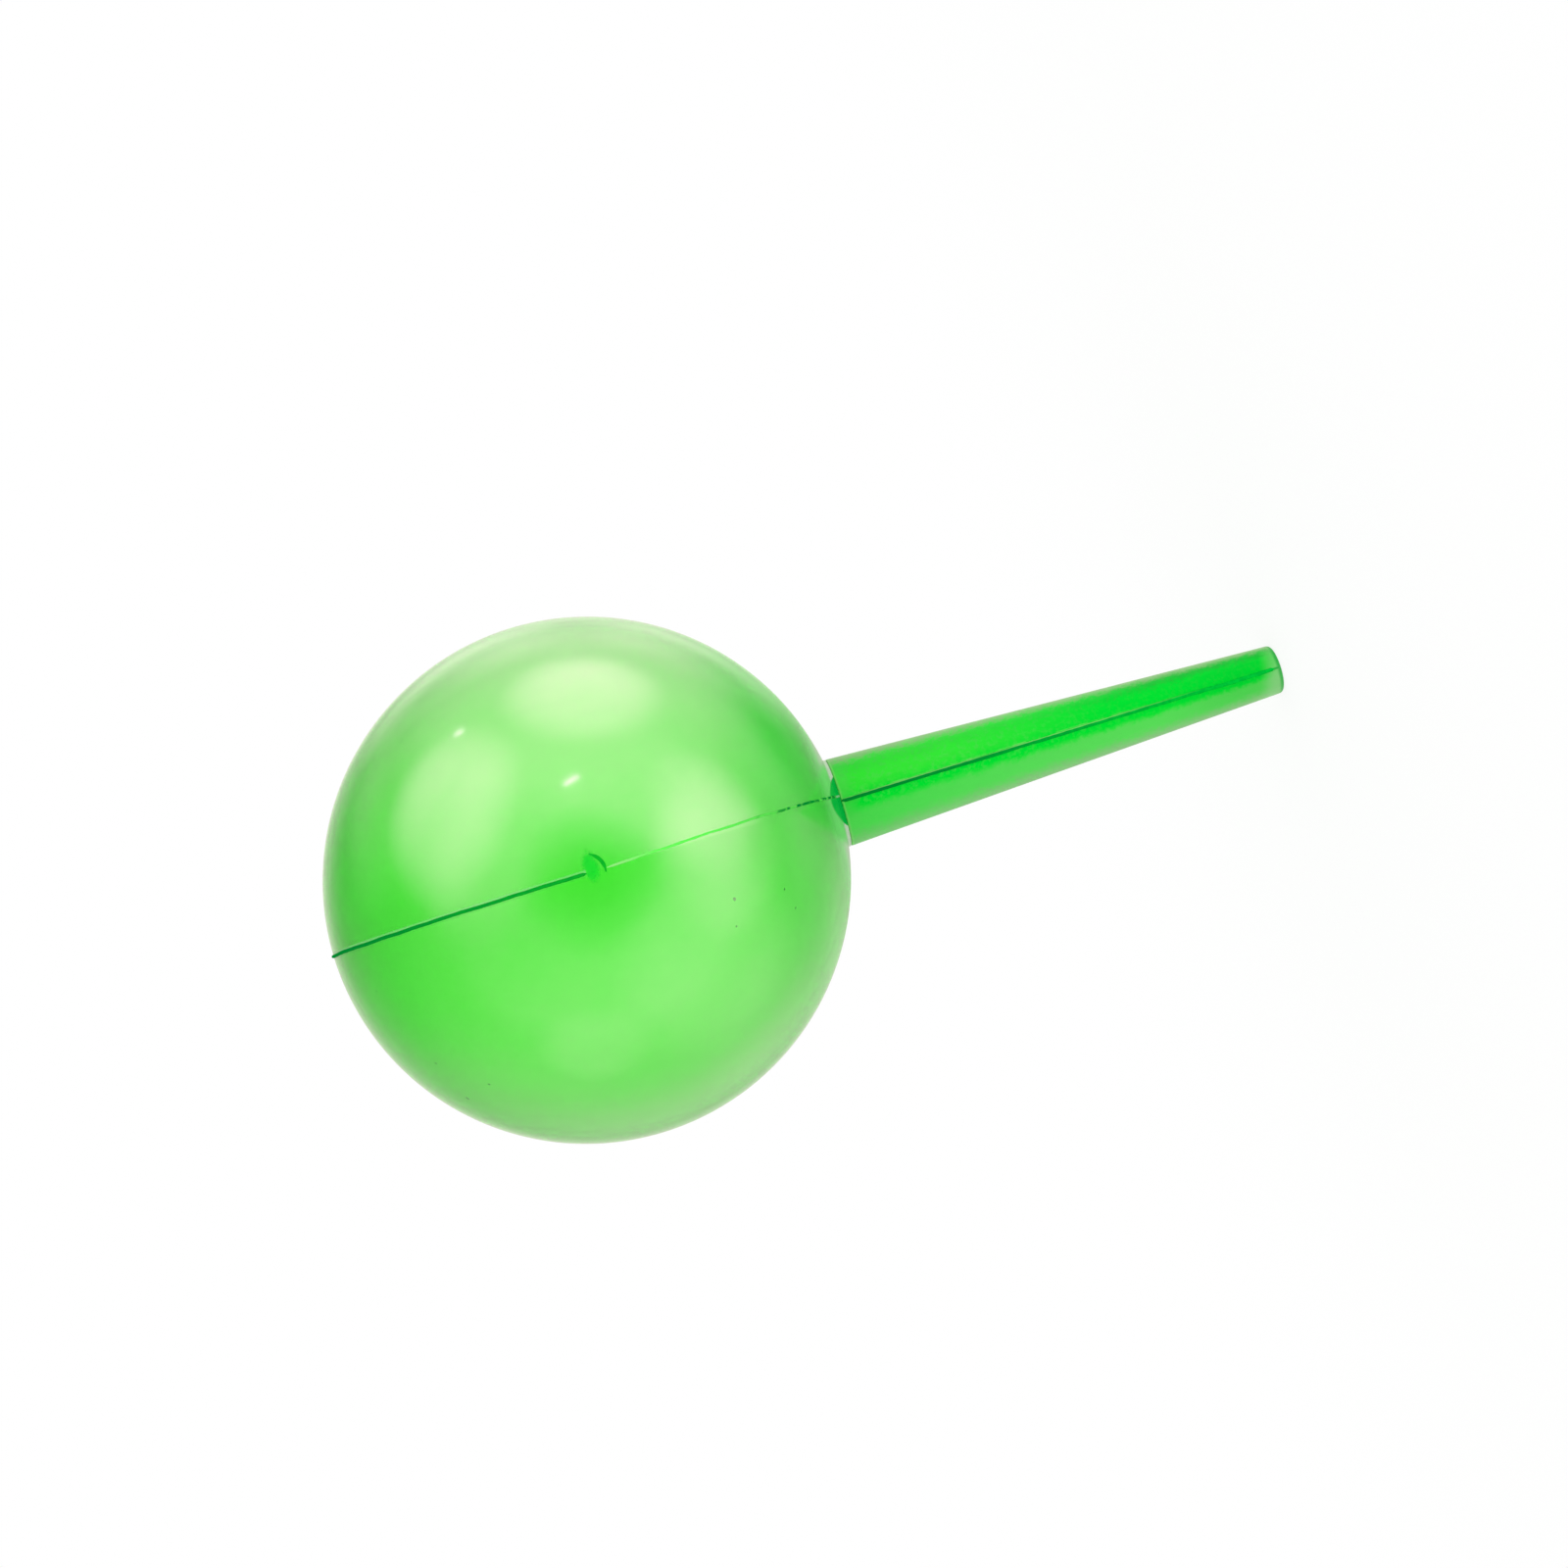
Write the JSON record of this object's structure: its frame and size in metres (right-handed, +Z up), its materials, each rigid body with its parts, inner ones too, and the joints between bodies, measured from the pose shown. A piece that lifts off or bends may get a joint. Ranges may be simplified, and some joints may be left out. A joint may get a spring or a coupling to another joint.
{
  "type": "watering globe",
  "caption": "Hollow translucent green globe on a tapered hollow stem that is pushed into potting soil and lets water seep out slowly; the globe lifts off the stem for filling.",
  "frame": {"origin": "on the common axis at the soil line, where the globe's seat rests on the stem's rim", "axes": "+Z up along the axis from the stem's tip to the globe's crown; the mould parting plane of both pieces is YZ; -Y is the side in the picture"},
  "size_m": [0.08, 0.0806, 0.1514],
  "materials": {
    "globe_plastic": "translucent gloss",
    "stem_plastic": "translucent gloss"
  },
  "bodies": {
    "stem": {"stem": "stem_plastic"},
    "globe": {"globe": "globe_plastic"}
  },
  "joints": [
    {"name": "globe_lift", "type": "slide", "parent": "stem", "child": "globe", "axis": [0, 0, 1], "range_m": [0, 0.03]}
  ]
}
